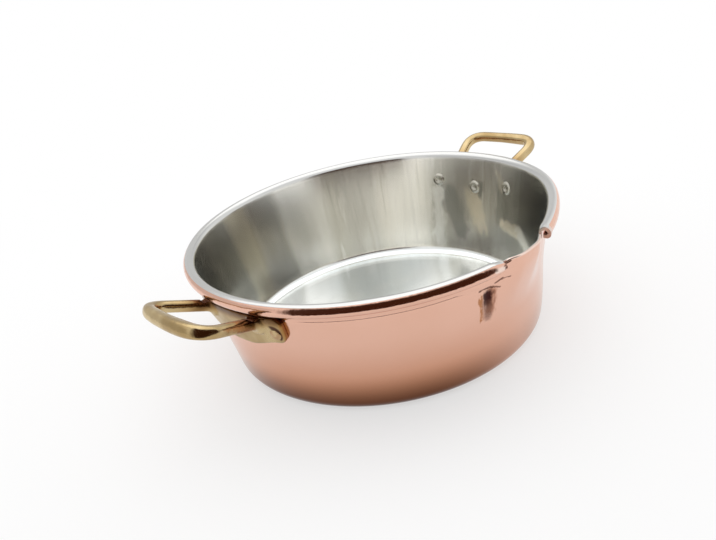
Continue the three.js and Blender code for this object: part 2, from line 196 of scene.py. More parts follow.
# %% [markdown]
# ## One profile, two tops
# Copper and tin have the same make-up: a profile runs from the axis over the base and up the wall,
# and its top either follows the bead or is the spout's bare edge. Where the two meet, the bead is
# cut off and a flat face closes the metal's section, so its hollow stays open to view.

# %% Profiles of the sheet
JOIN_Z = 87.0  # height at which the wall hands over to the bead or to the bare edge
BASE_POINTS = (0, 6, 25, 45, 65, 80, 95, 104, 109)  # radii of the points on the flat base
RIDGE_AT, RIDGE_WIDTH = 34.0, 7.0  # degrees of the corner's arc
CROWDING = 1.35  # above 1, the rows of the wall lie closer together near its top


def pan_line(inset, rows, bends=33, ridge=0.0):
    """The outer line moved inward: axis, flat base, arc with a bell-shaped ridge, straight wall."""
    turn = np.linspace(0, math.pi / 2 - LEAN, bends)
    radius = CORNER - inset - ridge * bell((np.degrees(turn) - RIDGE_AT) / RIDGE_WIDTH)
    flat = np.array([[r, inset] for r in BASE_POINTS], float)
    arc = np.stack([BASE_FLAT + radius * np.sin(turn), CORNER - radius * np.cos(turn)], -1)
    foot_r, foot_z = arc[-1]
    share = 1 - (1 - np.linspace(0, 1, rows)) ** CROWDING
    z = foot_z + (JOIN_Z - foot_z) * share[1:]
    wall = np.stack([foot_r + (z - foot_z) * math.tan(LEAN), z], -1)
    return np.concatenate([flat, arc, wall])


def ring(radius, start, end, steps):
    """Arc round the middle of the bead, from one angle in degrees to another."""
    a = np.radians(np.linspace(start, end, steps))
    return np.stack([BEAD_CENTRE + radius * np.cos(a), RIM_Z + radius * np.sin(a)], -1)


outside, inside = pan_line(0, 76), pan_line(SHEET, 26, bends=17)[::-1]
print("the outer line has", len(outside), "points and the inner one", len(inside))

# %% [markdown]
# ## The two ends of the bead
# On the right of the lip the bead's open end is squeezed a little, its inner skin most. On the left
# it sinks towards the wall and runs out askew. A point of the section is taken by its size and turn
# round the bead's middle, and squeezing changes the size alone.

# %% Ends of the bead
HELD_AT, FREED_OVER = math.radians(168), 0.9  # turn at which the wall holds the section; radians
SQUEEZE_OVER, SQUEEZE_SKIN, SQUEEZE_HOLLOW = 5.0, 0.10, 0.38  # length at the right end; shares
SINK_OVER, SINK = 7.0, 0.26  # length at the left end; share
SINK_IN, SINK_DOWN = 3.5, 1.0  # it sinks to a point this far in and down from the bead's middle
SLANTS = (1.0, 16.0), (-2.0, 18.0)  # right and left: shift of the outer side, and over what length


def trim(points, angles):
    """The bead with its ends squeezed, sunk and slanted, by smooth steps of the way to the end."""
    r, z = np.hypot(points[..., 0], points[..., 1]) - BEAD_CENTRE, points[..., 2] - RIM_Z
    size, turn = np.hypot(r, z), np.arctan2(z, r)
    free = smooth((HELD_AT - abs(turn)) / FREED_OVER)
    s = (angles[:, None] - SPOUT_ANGLE) * BEAD_CENTRE
    right, left = s - SPOUT_HALF, 2 * math.pi * BEAD_CENTRE - SPOUT_HALF - s
    share = np.where(size < BEAD - SHEET / 2, SQUEEZE_HOLLOW, SQUEEZE_SKIN)
    size = size * (1 - smooth(1 - right / SQUEEZE_OVER) * free * share)
    sunk = 1 - SINK * smooth(1 - left / SINK_OVER) * free
    r = BEAD_CENTRE + (size * np.cos(turn) + SINK_IN) * sunk - SINK_IN
    z = RIM_Z + (size * np.sin(turn) + SINK_DOWN) * sunk - SINK_DOWN
    slant = sum(shift * smooth(1 - end / over) for end, (shift, over) in zip((right, left), SLANTS))
    a = angles[:, None] - slant * np.maximum(0, np.cos(turn)) * free / BEAD_CENTRE
    return np.stack([r * np.cos(a), r * np.sin(a), z], -1)


print("the bead is squeezed over", SQUEEZE_OVER, "mm and sinks over", SINK_OVER, "mm")

# %% A closed shell with a spout
def turned(profile, angles):
    """A profile of (r, z) points turned to every angle: (r cos, r sin, z), stations by rows."""
    r, z = profile.T
    c, s = np.cos(angles)[:, None], np.sin(angles)[:, None]
    return np.stack([c * r, s * r, np.broadcast_to(z, (len(angles), len(r)))], -1)


def shell_with_spout(outside, bead, edge, inside):
    """Closed shell: the same lines outside and inside all round, topped by the bead or the edge.

    Point (station, row) is the profile's row turned to the station's angle and then formed. Fans
    close the poles, and a flat face closes the metal's section at either end of the bead.
    """
    stations = np.concatenate([spout_angles, bead_angles[1:-1]])
    common = np.concatenate([outside[1:], inside[:-1]])
    bead_part = trim(turned(bead, bead_angles), bead_angles)
    poles = np.array([[0, 0, outside[0, 1]], [0, 0, inside[-1, 1]]], float)
    parts = [turned(common, stations), turned(edge, spout_angles), bead_part, poles]
    points = np.concatenate([part.reshape(-1, 3) for part in parts])
    low = len(outside) - 1  # how many rows lie under the top, outside
    edge_start = len(stations) * len(common)
    bead_start = edge_start + SPOUT_STATIONS * len(edge)
    pole = len(points) - 2

    def sector(first, count, top_start, width):
        """Index of every point on the profiles of one sector, as a stations by rows array."""
        row = (first + np.arange(count))[:, None] % len(stations) * len(common)
        top = top_start + np.arange(count)[:, None] * width + np.arange(width)
        return np.concatenate([row + np.arange(low), top, row + np.arange(low, len(common))], 1)

    spout = sector(0, SPOUT_STATIONS, edge_start, len(edge))
    rest = sector(SPOUT_STATIONS - 1, BEAD_STATIONS, bead_start, len(bead))
    faces = []
    for rows in (spout, rest):
        a, b = rows[:-1], rows[1:]
        faces.append(np.stack([a[:, :-1], a[:, 1:], b[:, 1:], b[:, :-1]], -1).reshape(-1, 4))
        faces.append(np.stack([np.full(len(a), pole), a[:, 0], b[:, 0]], -1))
        faces.append(np.stack([a[:, -1], np.full(len(a), pole + 1), b[:, -1]], -1))
    for row, beside, step in ((rest[0], spout[-1], -1), (rest[-1], spout[0], 1)):
        bare = beside[low:low + len(edge)]
        section = np.concatenate([row[low - 1:low + len(bead) + 1], bare[::-1]])
        faces.append(section[::step][None])
    return form(points), faces


print("a station has", len(outside) + len(inside) - 2, "rows besides its top")

# %% [markdown]
# ## The copper pan
# The body is one sheet of 2 mm. At the rim it bends outward, comes round under itself and stops
# just short of the wall. Just under the bead a hammered crease runs round the pan, and it fades out
# where the spout begins.

# %% The curl and the bare edge
BEAD_FROM = 170.0  # degrees round the bead at which it leaves the wall
SLIT = 0.5  # between the tip of the curl and the wall
TIP_NOSE, NOSE_SHARE = 9.0, 0.9  # degrees that the rounded tip goes on, and how much of them
EDGE_ROWS = (88.0, 89.0, 89.5)  # heights on the way up to the bare edge
EDGE_INSET, EDGE_SHOULDER, EDGE_CROWN = 0.35, 89.9, 90.05  # its rounding: width and two heights


def curl_tip():
    """Angle at which the curl's middle line comes within a slit's width of the wall."""
    a = np.linspace(-90, -180, 400)
    middle = ring(BEAD - SHEET / 2, -90, -180, 400)
    free = middle[:, 0] - wall_radius(middle[:, 1]) > SHEET / 2 + SLIT
    return float(a[np.argmin(free)])


tip = curl_tip()
tip_start, tip_next = (ring(BEAD - SHEET / 2, a, a, 1)[0] for a in (tip, tip - TIP_NOSE))
tip_end = tip_start + (tip_next - tip_start) * NOSE_SHARE
bead_top = np.concatenate([ring(BEAD - SHEET, BEAD_FROM, tip, 24), tip_end[None],
                           ring(BEAD, tip, BEAD_FROM, 52)])
edge_out = np.array([[wall_radius(z), z] for z in EDGE_ROWS])
edge_in = edge_out[::-1] - [SHEET / math.cos(LEAN), 0]
outer, inner = edge_out[-1, 0], edge_in[0, 0]
crown = [[outer - EDGE_INSET, EDGE_SHOULDER], [outer - SHEET / 2, EDGE_CROWN],
         [inner + EDGE_INSET, EDGE_SHOULDER]]
edge_top = np.concatenate([edge_out, crown, edge_in])
print("the curl's tip stands at", round(tip, 1), "degrees round the bead")

# %% Copper body
CREASE_Z, CREASE_DIP = 80.6, 4.2  # its height, and how far it dips on the left of the spout
CREASE_DEPTH, CREASE_WIDTH = 0.35, 0.7


def crease(points):
    """Draws the outer skin in along a line under the bead, by a bell curve of the height."""
    x, y, z = points.T
    r, s = np.hypot(x, y), along_rim(x, y)
    line = CREASE_Z - CREASE_DIP * smooth((s + 62) / 30) * (s < 0)
    kept = np.where(s < 0, smooth((-20 - s) / 10), smooth((s - 30) / 25))
    on_outside = r > wall_radius(z) - SHEET / 2
    depth = CREASE_DEPTH * bell((z - line) / CREASE_WIDTH) * kept * on_outside
    shrink = 1 - depth / np.maximum(r, 1)
    return points * np.stack([shrink, shrink, np.ones_like(z)], -1)


pan_points, pan_faces = shell_with_spout(outside, bead_top, edge_top, inside)
pan = make_piece("copper_pan", [(crease(pan_points), pan_faces)])

# %% [markdown]
# ## The tin
# Tin is wiped over the hot copper as a film. It covers the inside and ends on the outer side of the
# bead. The film here is a closed skin whose back lies in the copper, so that no gap shows. At the
# corner of the base it stands up in a low ridge.

# %% Tin lining
FILM, FILM_ROOT = 0.12, 0.3  # how far it stands off the copper, and how deep its back lies in it
TIN_EDGE = 56.0  # degrees up the outer side of the bead
LIP_ROWS = np.array([88.0, 89.0, 89.75])  # heights on the way up to the bare edge
RIDGE = 0.3  # height of the ridge at the corner


def film_top(offset):
    """The film over the bead, from the inside over the crest to its edge."""
    return ring(BEAD + offset, BEAD_FROM, TIN_EDGE, 30)


tin_crest = np.concatenate([film_top(FILM), film_top(-FILM_ROOT)[::-1]])
lip_face = np.stack([wall_radius(LIP_ROWS) - (SHEET + FILM) / math.cos(LEAN), LIP_ROWS], -1)
lip_back = lip_face[::-1] + [(FILM + FILM_ROOT) / math.cos(LEAN), 0]
tin_face, tin_back = pan_line(SHEET + FILM, 60, ridge=RIDGE), pan_line(SHEET - FILM_ROOT, 26)[::-1]
tin_lip = np.concatenate([lip_face, lip_back])
tin = make_piece("tin_film", [shell_with_spout(tin_face, tin_crest, tin_lip, tin_back)])

# %% [markdown]
# ## Cast brass handles
# Each handle is one sand casting: a plate bent to the wall, two arms and a grip. It is made here as
# two closed surfaces that overlap. The plate is a row of rounded sections along the wall, and its
# foot bellies down to take the middle rivet.

# %% Plate
PLATE_HALF = 45.7  # along the wall
PLATE_TOP, PLATE_FOOT = 82.8, 62.5  # heights of its two long edges, at the ends
PLATE_BELLY, BELLY_FROM, BELLY_FADE = 5.6, 40.0, 30.0  # how much lower, from where, over how much
PLATE_FACE = 3.8  # off the wall
PLATE_CORNER = 6.2  # in the outline
EDGE = 0.9  # rounding of the worn edge
BACK = 0.1  # how deep the plate's back lies in the copper
PLATE_STATIONS, QUARTER = 141, 6  # sections, and points on a quarter circle


def at_wall(s, z, off):
    """Point at a length along the wall, a height and a distance off the copper."""
    r = wall_radius(z) + off
    return np.stack([r * np.cos(s / WALL_TOP), r * np.sin(s / WALL_TOP), z], -1)


def skin(grid):
    """Closed tube from a stations by sides grid, with a point in the middle of each end."""
    count, sides = grid.shape[:2]
    ends = np.stack([grid[0].mean(0), grid[-1].mean(0)])
    points = np.concatenate([grid.reshape(-1, 3), ends])
    j = np.arange(sides)
    k = (j + 1) % sides
    last = (count - 1) * sides
    first_cap = np.stack([np.full(sides, count * sides), k, j], -1)
    last_cap = np.stack([np.full(sides, count * sides + 1), last + j, last + k], -1)
    return points, [grid_faces(count, sides, closed=True), first_cap, last_cap]


def plate():
    """Sections of a rounded box along the wall; near each end the rounding shrinks to nothing.

    The outline's corner takes r - sqrt(r^2 - t^2) off both long edges, t past the corner's start.
    """
    s = -PLATE_HALF * np.cos(np.linspace(0, math.pi, PLATE_STATIONS))
    past = np.maximum(0, abs(s) - (PLATE_HALF - PLATE_CORNER))
    cut = PLATE_CORNER - np.sqrt(np.maximum(0, PLATE_CORNER**2 - past**2))
    belly = PLATE_BELLY * smooth((BELLY_FROM - abs(s)) / BELLY_FADE)
    depth = np.clip(EDGE - (PLATE_HALF - abs(s)), 0, EDGE)
    rounding = np.sqrt(EDGE**2 - depth**2)[:, None]
    quarter = np.linspace(0, math.pi / 2, QUARTER)
    a = np.concatenate([quarter + k * math.pi / 2 for k in range(4)])
    upper, front = np.repeat([1, 0, 0, 1], QUARTER), np.repeat([1, 1, 0, 0], QUARTER)
    top, foot = PLATE_TOP - cut - EDGE, PLATE_FOOT - belly + cut + EDGE
    z = np.where(upper, top[:, None], foot[:, None]) + rounding * np.cos(a)
    off = np.where(front, PLATE_FACE - EDGE, EDGE - BACK) + rounding * np.sin(a)
    return skin(at_wall(np.broadcast_to(s[:, None], z.shape), z, off))


print("a plate has", len(plate()[0]), "points")

# %% [markdown]
# ## Arms and grip
# The loop is a rounded oval carried along a path: two straight arms, two bends and a slightly bowed
# grip. The oval grows over the grip, and it widens into the plate as a fillet does.

# %% Path of the loop
ROOT = np.array([131.0, 24.0, 74.73])  # where an arm's middle line starts, behind the plate
BEND = np.array([179.5, 35.5, 95.2])  # where the lines of arm and grip would cross
BEND_SIZE = 16.0  # how far from there the bend begins
BOW = 3.4  # of the grip
LOOP_STATIONS = 260


def curve(a, b, c, steps):
    """Quadratic curve (1-t)^2 a + 2t(1-t) b + t^2 c, which is pulled from a to c towards b."""
    t = np.linspace(0, 1, steps)[:, None]
    return (1 - t) ** 2 * a + 2 * t * (1 - t) * b + t**2 * c


def loop_path():
    """Middle line in even steps, with the length along it; the second half mirrors the first."""
    flip = np.array([1, -1, 1])
    middle = np.array([BEND[0] + BOW, 0, BEND[2]])
    arm, grip = (BEND + (end - BEND) * BEND_SIZE / np.linalg.norm(end - BEND)
                 for end in (ROOT, middle))
    half = np.concatenate([curve(ROOT, (ROOT + arm) / 2, arm, 60), curve(arm, BEND, grip, 60)])
    line = np.concatenate([half, curve(grip, middle, grip * flip, 90), (half[:-1] * flip)[::-1]])
    along = np.concatenate([[0], np.cumsum(np.linalg.norm(np.diff(line, axis=0), axis=1))])
    even = np.linspace(0, along[-1], LOOP_STATIONS)
    return np.stack([np.interp(even, along, line[:, k]) for k in range(3)], -1), even


print("the middle line of a loop is", round(float(loop_path()[1][-1]), 1), "mm long")

# %% Arms and grip
ARM_HALF = 4.1  # half the thickness of an arm
GRIP_MORE = {1: 0.05, -1: 0.8}  # what the right and the left grip have more
GRIP_END, GRIP_FADE = 44.0, 35.5  # from the grip's middle, and inward
SWELL, SWELL_AT, SWELL_OVER = 0.35, 20.0, 26.0  # both grips swell a little towards the front
TILT = math.atan2(19.2, 45.5)  # of the loop, up from level
SQUARENESS = 2.5  # 2 would be a circle
FILLET, FILLET_MOST = 5.0, 3.4  # between arms and plate: its radius, and the most that it widens
CLEAR = 0.4  # the loop's root stays this far off the copper
UNDER_BEAD, UNDER_TOP = 145.0, 0.8  # within this radius it stays this far under the plate's top


def half_width(along, front):
    """Half the loop's thickness: the arm's, more over the grip, and a swell towards the front."""
    from_middle = along - along[-1] / 2
    half = ARM_HALF + GRIP_MORE[front] * smooth((GRIP_END - abs(from_middle)) / GRIP_FADE)
    return half + SWELL * smooth(1 - abs(from_middle * front - SWELL_AT) / SWELL_OVER)


def settle(points, side):
    """Widens the loop by r - sqrt(r^2 - t^2) near the plate, and keeps its root outside the pan."""
    off = np.hypot(points[..., 0], points[..., 1]) - wall_radius(points[..., 2]) - PLATE_FACE
    near = np.clip(FILLET - off, 0, FILLET)
    wider = FILLET - np.sqrt(FILLET**2 - near**2)
    points = points + side * np.minimum(wider, FILLET_MOST)[..., None]
    r = np.hypot(points[..., 0], points[..., 1])
    least = (wall_radius(points[..., 2]) + CLEAR) / r
    points[..., :2] *= np.maximum(1, least)[..., None]
    highest = np.where(r < UNDER_BEAD, PLATE_TOP - UNDER_TOP, np.inf)
    points[..., 2] = np.minimum(points[..., 2], highest)
    return points


def loop(front):
    """Superellipse |cos|^n + |sin|^n along the path, in planes across it, settled on the plate."""
    path, along = loop_path()
    ahead = np.gradient(path, axis=0)
    ahead /= np.linalg.norm(ahead, axis=1)[:, None]
    up = np.array([-math.sin(TILT), 0, math.cos(TILT)])
    across = np.cross(up, ahead)
    across /= np.linalg.norm(across, axis=1)[:, None]
    a = np.linspace(0, 2 * math.pi, 40, endpoint=False)
    c, s = np.cos(a), np.sin(a)
    oval = (abs(c) ** SQUARENESS + abs(s) ** SQUARENESS) ** (-1 / SQUARENESS)
    side = across[:, None] * c[:, None] + up * s[:, None]
    plain = path[:, None] + side * (half_width(along, front)[:, None] * oval)[..., None]
    return skin(settle(plain, side))


grips = [2 * half_width(loop_path()[1], front).max() for front in (1, -1)]
print("the right and the left grip are up to", np.round(grips, 1).tolist(), "mm thick")

# %% [markdown]
# ## Two castings
# A voxel remesh melts plate and loop into one skin, and a light smoothing rounds the joint, as
# filing and buffing do. The left handle is the right one turned half round, with a thicker grip.

# %% Two castings
VOXEL, RUB, RUBS = 0.55, 0.5, 8  # mm; how far points move to their neighbours' middle; how often


def cast(name, turn):
    """One handle: plate and loop, multiplied by turn (1 or -1) in x and y, melted and smoothed."""
    shells = [(points * [turn, turn, 1], faces) for points, faces in (plate(), loop(turn))]
    piece = make_piece(name, shells)
    melt = piece.modifiers.new("melt", "REMESH")
    melt.mode, melt.voxel_size, melt.use_smooth_shade = "VOXEL", VOXEL * MM, True
    rub = piece.modifiers.new("rub", "SMOOTH")
    rub.factor, rub.iterations = RUB, RUBS
    return piece


handle_right, handle_left = cast("brass_handle_right", 1), cast("brass_handle_left", -1)

# %% [markdown]
# ## Rivets
# Inside the pan a rivet's head is a low ring round a shallow hollow, and on the brass plate its
# tail is a low dome. Both are one turned shape about the wall's own normal, a little out of round.

# %% Rivets
RIVET_Z, RIVET_DROP = 70.4, 4.6  # height of the outer ones, and how much lower the middle one sits
RIVET_APART = 37.8  # along the wall
HEAD, TAIL, SHANK = 6.2, 4.2, 2.5  # radii
HEAD_PROUD, HEAD_RIM, HEAD_FLANK = 1.3, 6.3, 3.0  # height, the flank's radius and its width
HEAD_DISH, DISH_WIDTH = 0.8, 2.6  # the hollow in the head
HEAD_SEAT, TAIL_SEAT, BITE = 0.15, 0.1, 0.2  # how deep head, tail and shank sit in the metal
TAIL_PROUD, TAIL_EDGE = 0.75, 0.25  # the dome's height, and its share at the edge


def rivet_line():
    """The profile from the head's middle to the tail's: radius, and distance off the copper."""
    r, t = np.linspace(0, HEAD, 18), np.radians(np.linspace(90, 0, 10))
    rise = HEAD_PROUD * smooth((HEAD_RIM - r) / HEAD_FLANK)
    head = -SHEET - FILM + HEAD_SEAT - rise + HEAD_DISH * bell(r / DISH_WIDTH)
    dome = TAIL_PROUD * (TAIL_EDGE + (1 - TAIL_EDGE) * np.cos(t))
    shank = [[HEAD, BITE - SHEET], [SHANK, BITE - SHEET], [SHANK, PLATE_FACE - BITE],
             [TAIL, PLATE_FACE - BITE]]
    tail = np.stack([TAIL * np.sin(t), PLATE_FACE - TAIL_SEAT + dome], -1)
    return np.concatenate([np.stack([r, head], -1), shank, tail])


def rivet(name, side, turn):
    """The profile turned about the wall's normal, times 1 and two small waves of the angle."""
    line, a = rivet_line(), np.linspace(0, 2 * math.pi, 48, endpoint=False)
    beaten = 1 + 0.025 * np.sin(2 * a + side) + 0.02 * np.sin(5 * a + 2 * side + turn)
    z = RIVET_Z - (RIVET_DROP if side == 0 else 0)
    angle = side * RIVET_APART / wall_radius(z)
    level = np.array([-math.sin(angle), math.cos(angle), 0])
    out = math.cos(LEAN) * np.array([math.cos(angle), math.sin(angle), -math.tan(LEAN)])
    spread = level * np.cos(a)[:, None] + np.cross(out, level) * np.sin(a)[:, None]
    seat = at_wall(angle * WALL_TOP, z, 0.0)
    grid = seat + out * line[1:-1, 1, None, None] + spread * (line[1:-1, :1] * beaten)[..., None]
    points, faces = skin(grid)
    points[-2:] = seat + out * line[[0, -1], 1][:, None]
    return make_piece(name, [(points * [turn, turn, 1], faces)], crisp=50)


rivets = {}
for side_name, turn in (("right", 1), ("left", -1)):
    for side, spot in ((-1, "front"), (0, "middle"), (1, "rear")):
        node = f"rivet_{side_name}_{spot}"
        rivets[node] = rivet("domed_" + node, side * turn, turn)

# %% [markdown]
# ## Writing shaders as sums
# A node tree is easier to read as an expression. The class below wraps one socket: adding or
# multiplying two of them adds the Math node that does it, and every other node comes from one
# method that takes its type, its settings and what goes into its sockets.

# %% A wire in a node tree
class Wire:
    """One socket of a node tree; an expression on wires and numbers adds its Math nodes."""

    def __init__(self, tree, socket=None):
        self.tree, self.socket = tree, socket

    def node(self, kind, settings=None, sockets=None, output=0):
        """Adds a node: its settings first, then the values or wires of its sockets."""
        node = self.tree.nodes.new("ShaderNode" + kind)
        for key, value in (settings or {}).items():
            setattr(node, key, value)
        for key, value in (sockets or {}).items():
            if isinstance(value, Wire):
                value.into(node.inputs[key])
            else:
                node.inputs[key].default_value = value
        return Wire(self.tree, node.outputs[output] if node.outputs else None)

    def into(self, socket):
        """Runs the wire into a socket of a node that is there already."""
        self.tree.links.new(self.socket, socket)

    def math(self, operation, a, b=0.0):
        """A Math node on one or two wires or numbers."""
        return self.node("Math", {"operation": operation}, {0: a, 1: b})

    def __add__(self, other): return self.math("ADD", self, other)
    def __radd__(self, other): return self.math("ADD", other, self)
    def __sub__(self, other): return self.math("SUBTRACT", self, other)
    def __rsub__(self, other): return self.math("SUBTRACT", other, self)
    def __mul__(self, other): return self.math("MULTIPLY", self, other)
    def __rmul__(self, other): return self.math("MULTIPLY", other, self)
    def __truediv__(self, other): return self.math("DIVIDE", self, other)
    def __rtruediv__(self, other): return self.math("DIVIDE", other, self)
    def __pow__(self, other): return self.math("POWER", self, other)
    def __rpow__(self, other): return self.math("POWER", other, self)
    def __abs__(self): return self.math("ABSOLUTE", self)
    def larger(self, other): return self.math("MAXIMUM", self, other)
    def smaller(self, other): return self.math("MINIMUM", self, other)

    def ramp(self, low, high):
        """0 up to low, 1 from high on, a smooth step between."""
        return self.node("MapRange", {"interpolation_type": "SMOOTHSTEP"},
                         {"Value": self, "From Min": low, "From Max": high})

    def fall(self, low, high):
        """1 up to low, 0 from high on."""
        return 1 - self.ramp(low, high)

    def near(self, middle, full, none):
        """1 up to full on either side of the middle, 0 from none on."""
        return abs(self - middle).fall(full, none)

    def stretched(self, x, y, z):
        """The vector with each part multiplied."""
        return self.node("VectorMath", {"operation": "MULTIPLY"}, {0: self, 1: (x, y, z)})

    def noise(self, scale, detail=2.0, roughness=0.5):
        """Soft random values between 0 and 1 over a vector."""
        return self.node("TexNoise", {}, {"Vector": self, "Scale": scale, "Detail": detail,
                                          "Roughness": roughness})

    def parts(self):
        """The three numbers of a vector."""
        outputs = self.node("SeparateXYZ", {}, {0: self}).socket.node.outputs
        return [Wire(self.tree, outputs[k]) for k in range(3)]

    def mix(self, mask, a, b):
        """Colour a where the mask is 0 and b where it is 1."""
        return self.node("Mix", {"data_type": "RGBA"}, {0: mask, 6: a, 7: (*b, 1)}, output=2)

    def paint(self, colour):
        """A wire that carries one colour."""
        return self.mix(0.0, (*colour, 1), colour)

    def tint(self, *layers):
        """The colour with others laid over it in turn, each a colour and its mask."""
        colour = self
        for tone, mask in layers:
            colour = self.mix(mask, colour, tone)
        return colour


def start_metal(name):
    """A new material, and wires for the place on the pan, its three parts and its radius."""
    material = bpy.data.materials.new(name)
    material.use_nodes = True
    place = Wire(material.node_tree).node("TexCoord", output="Object")
    x, y, z = place.parts()
    return material, place, (x, y, z, (x * x + y * y) ** 0.5)


def finish_metal(material, colour, roughness, height, depth):
    """Feeds colour, roughness and a bump of so many metres into the shader of a bare metal."""
    shader = material.node_tree.nodes["Principled BSDF"]
    shader.inputs["Metallic"].default_value = 1.0
    colour.into(shader.inputs["Base Color"])
    roughness.into(shader.inputs["Roughness"])
    bump = colour.node("Bump", {}, {"Strength": 1.0, "Distance": depth, "Height": height})
    bump.into(shader.inputs["Normal"])
    print(material.name, "has", len(material.node_tree.nodes), "nodes")
    return material


print("a wire has", ", ".join(name for name in vars(Wire) if not name.startswith("_")))

# %% [markdown]
# ## Marks beside the lip
# On the left of the lip a dark smear with an orange edge runs down the wall; its dark is a painted
# dark reflection in the dent there. A few short scratches lie above it, and a dark line of painted
# shadow lies between the bead's sunk tip and the lip. The bead's cut end, its sunk tip and the
# lip's bare edge are painted paler, as highlights. Each mark is a straight stroke on the unrolled
# wall, made ragged by noise.

# %% Strokes on the unrolled wall
DARK_REFLECTION_STROKE = ((-33.6, 70.5), (-33.4, 55), 7.6)  # painted dark reflection: start and end, along the rim and up, and its width
SMEAR_EDGE = ((-39.6, 72), (-38.8, 53), 2.8)
BLUSH = ((-31.0, 72), (-31.5, 58), 6.5)
SCRATCHES = (((-41, 76.4), (-32, 76.4), 1.0), ((-32, 76.4), (-25, 73.8), 1.3),
             ((-28.5, 78), (-23.5, 80.2), 1.2), ((-24.5, 79.6), (-18, 79.5), 0.8))
GAP_SHADOW = ((-26.0, 89.6), (-19.0, 91.4), 1.5)  # painted shadow between the sunk tip of the bead and the lip
# the bead's sunk tip, painted paler as a highlight
PALE_TIP = ((-33, 90.5), (-27.5, 90), 2.8)
CUT_AT = 27.6  # the cut end of the bead, on the right; painted paler, as a highlight


def stroke(s, z, start, end, width):
    """1 on the straight line between two points of the unrolled wall, in mm, and 0 a width off it.

    The nearest point is start + t (end - start), where t is held between 0 and 1.
    """
    (s0, z0), (s1, z1) = start, end
    ds, dz = s1 - s0, z1 - z0
    t = ((s - s0) * ds + (z - z0) * dz) / (ds * ds + dz * dz)
    t = t.larger(0.0).smaller(1.0)
    off_s, off_z = s - s0 - t * ds, z - z0 - t * dz
    return ((off_s * off_s + off_z * off_z) ** 0.5).fall(0.0, width)


def mark_lip(colour, place, s, z, flecks):
    """Lays the marks over a colour; gives it back with the masks of the dark reflection, the
    scratches with the gap's shadow, and the cut end.
    """
    up = z * 1000
    ragged = place.stretched(1, 1, 0.3).noise(420, 3, 0.6)
    torn_s = s + (ragged - 0.5) * 7 + (flecks - 0.5) * 1.5
    torn_up = up + (place.noise(260, 2) - 0.5) * 5
    fine_s, fine_up = s + (flecks - 0.5) * 1.2, up + (flecks - 0.5) * 1.2
    reflection_smear = stroke(torn_s, torn_up, *DARK_REFLECTION_STROKE)
    scratches_and_shadow = stroke(fine_s, fine_up, *SCRATCHES[0])
    for scratch in SCRATCHES[1:]:
        scratches_and_shadow = scratches_and_shadow.larger(stroke(fine_s, fine_up, *scratch))
    # the gap's dark line is painted shadow, joined to the scratches
    scratches_and_shadow = (scratches_and_shadow * (0.45 + flecks * 0.9)).larger(stroke(s, up, *GAP_SHADOW).ramp(0.0, 0.7))
    edge = stroke(torn_s, torn_up, *SMEAR_EDGE).ramp(0.1, 0.8) * ragged.ramp(0.35, 0.55)
    # painted dark reflection: the smear is darkest towards its top
    dark = reflection_smear.ramp(0.05, 0.95) * (0.55 + 0.45 * torn_up.ramp(58, 68))
    # painted highlights: the bead's cut end, its sunk tip and the lip's bare edge
    cut = fine_s.near(CUT_AT, 2.0, 3.4) * z.ramp(0.0850, 0.0862)
    bare = s.near(0, 20, 24) * z.ramp(0.0913, 0.0921)
    pale = stroke(s, up, *PALE_TIP).ramp(0.1, 0.8).larger(bare)
    blush = stroke(torn_s, torn_up, *BLUSH).ramp(0.0, 0.9)
    colour = colour.tint(
        ((0.42, 0.18, 0.10), blush * 0.75), ((0.40, 0.15, 0.035), edge * 0.8),
        ((0.045, 0.010, 0.008), dark), ((0.09, 0.028, 0.014), scratches_and_shadow.ramp(0.1, 0.9) * 0.8),
        ((0.80, 0.68, 0.62), cut * 0.9), ((0.90, 0.78, 0.70), pale * 0.7))
    return colour, reflection_smear, scratches_and_shadow, cut


print("the smear lies", -DARK_REFLECTION_STROKE[0][0], "mm to the left of the spout's middle")

# %% [markdown]
# ## Polished copper
# The outside was polished on a wheel, so its fine lines run round the pan. Towards the table the
# copper is painted darker and browner, most on the camera's side: painted shade, for the table's
# shadow mirrored in the wall. Faint clouds of handling show everywhere, and the bead has small
# dings. All of it is worked out from the place on the pan, in metres.

# %% Copper
DARKEST_SHADE_AT = -148.0  # degrees: the painted shade towards the table is darkest here, on the camera's side


def copper_finish():
    material, place, (x, y, z, radius) = start_metal("polished_copper")
    clouds, flecks = place.noise(14, 3), place.noise(700, 2)
    lines = place.stretched(30, 30, 2600).noise(1, 2)
    circles = place.node("CombineXYZ", {}, {"X": radius * 2600}).noise(1, 2)
    under = z.fall(0.0005, 0.002)
    marks = lines * (1 - under) + circles * under
    # painted shade: darker and browner towards the table, most on the camera's side, for the
    # table's shadow mirrored in the wall
    shaded = place.math("COSINE", place.math("ARCTAN2", y, x) - math.radians(DARKEST_SHADE_AT))
    shaded = shaded.ramp(0.45, 0.95) * 0.75 + 0.25
    colour = place.paint((0.78, 0.475, 0.365)).tint(
        ((0.70, 0.40, 0.28), clouds.ramp(0.45, 0.8) * 0.3),
        ((0.58, 0.26, 0.14), z.fall(0.008, 0.064) * shaded * 0.95),
        ((0.085, 0.028, 0.014), z.fall(0.002, 0.034) * shaded * 0.95),
        ((0.42, 0.20, 0.12), under * clouds.ramp(0.3, 0.7) * 0.5))
    s = place.math("ARCTAN2", x, y * -1) * BEAD_CENTRE
    colour, reflection_smear, scratches_and_shadow, cut = mark_lip(colour, place, s, z, flecks)
    roughness = 0.09 + clouds * 0.06 + marks * 0.05 + under * 0.18 + reflection_smear * 0.15 + cut * 0.3
    dings = place.noise(150, 2).ramp(0.35, 0.8) * z.ramp(0.0845, 0.0865)
    height = marks * 0.5 + clouds * 2.0 - scratches_and_shadow * 4.0 - dings * 3.5
    return finish_metal(material, colour, roughness, height, 0.00003)


finishes = {"copper": copper_finish()}
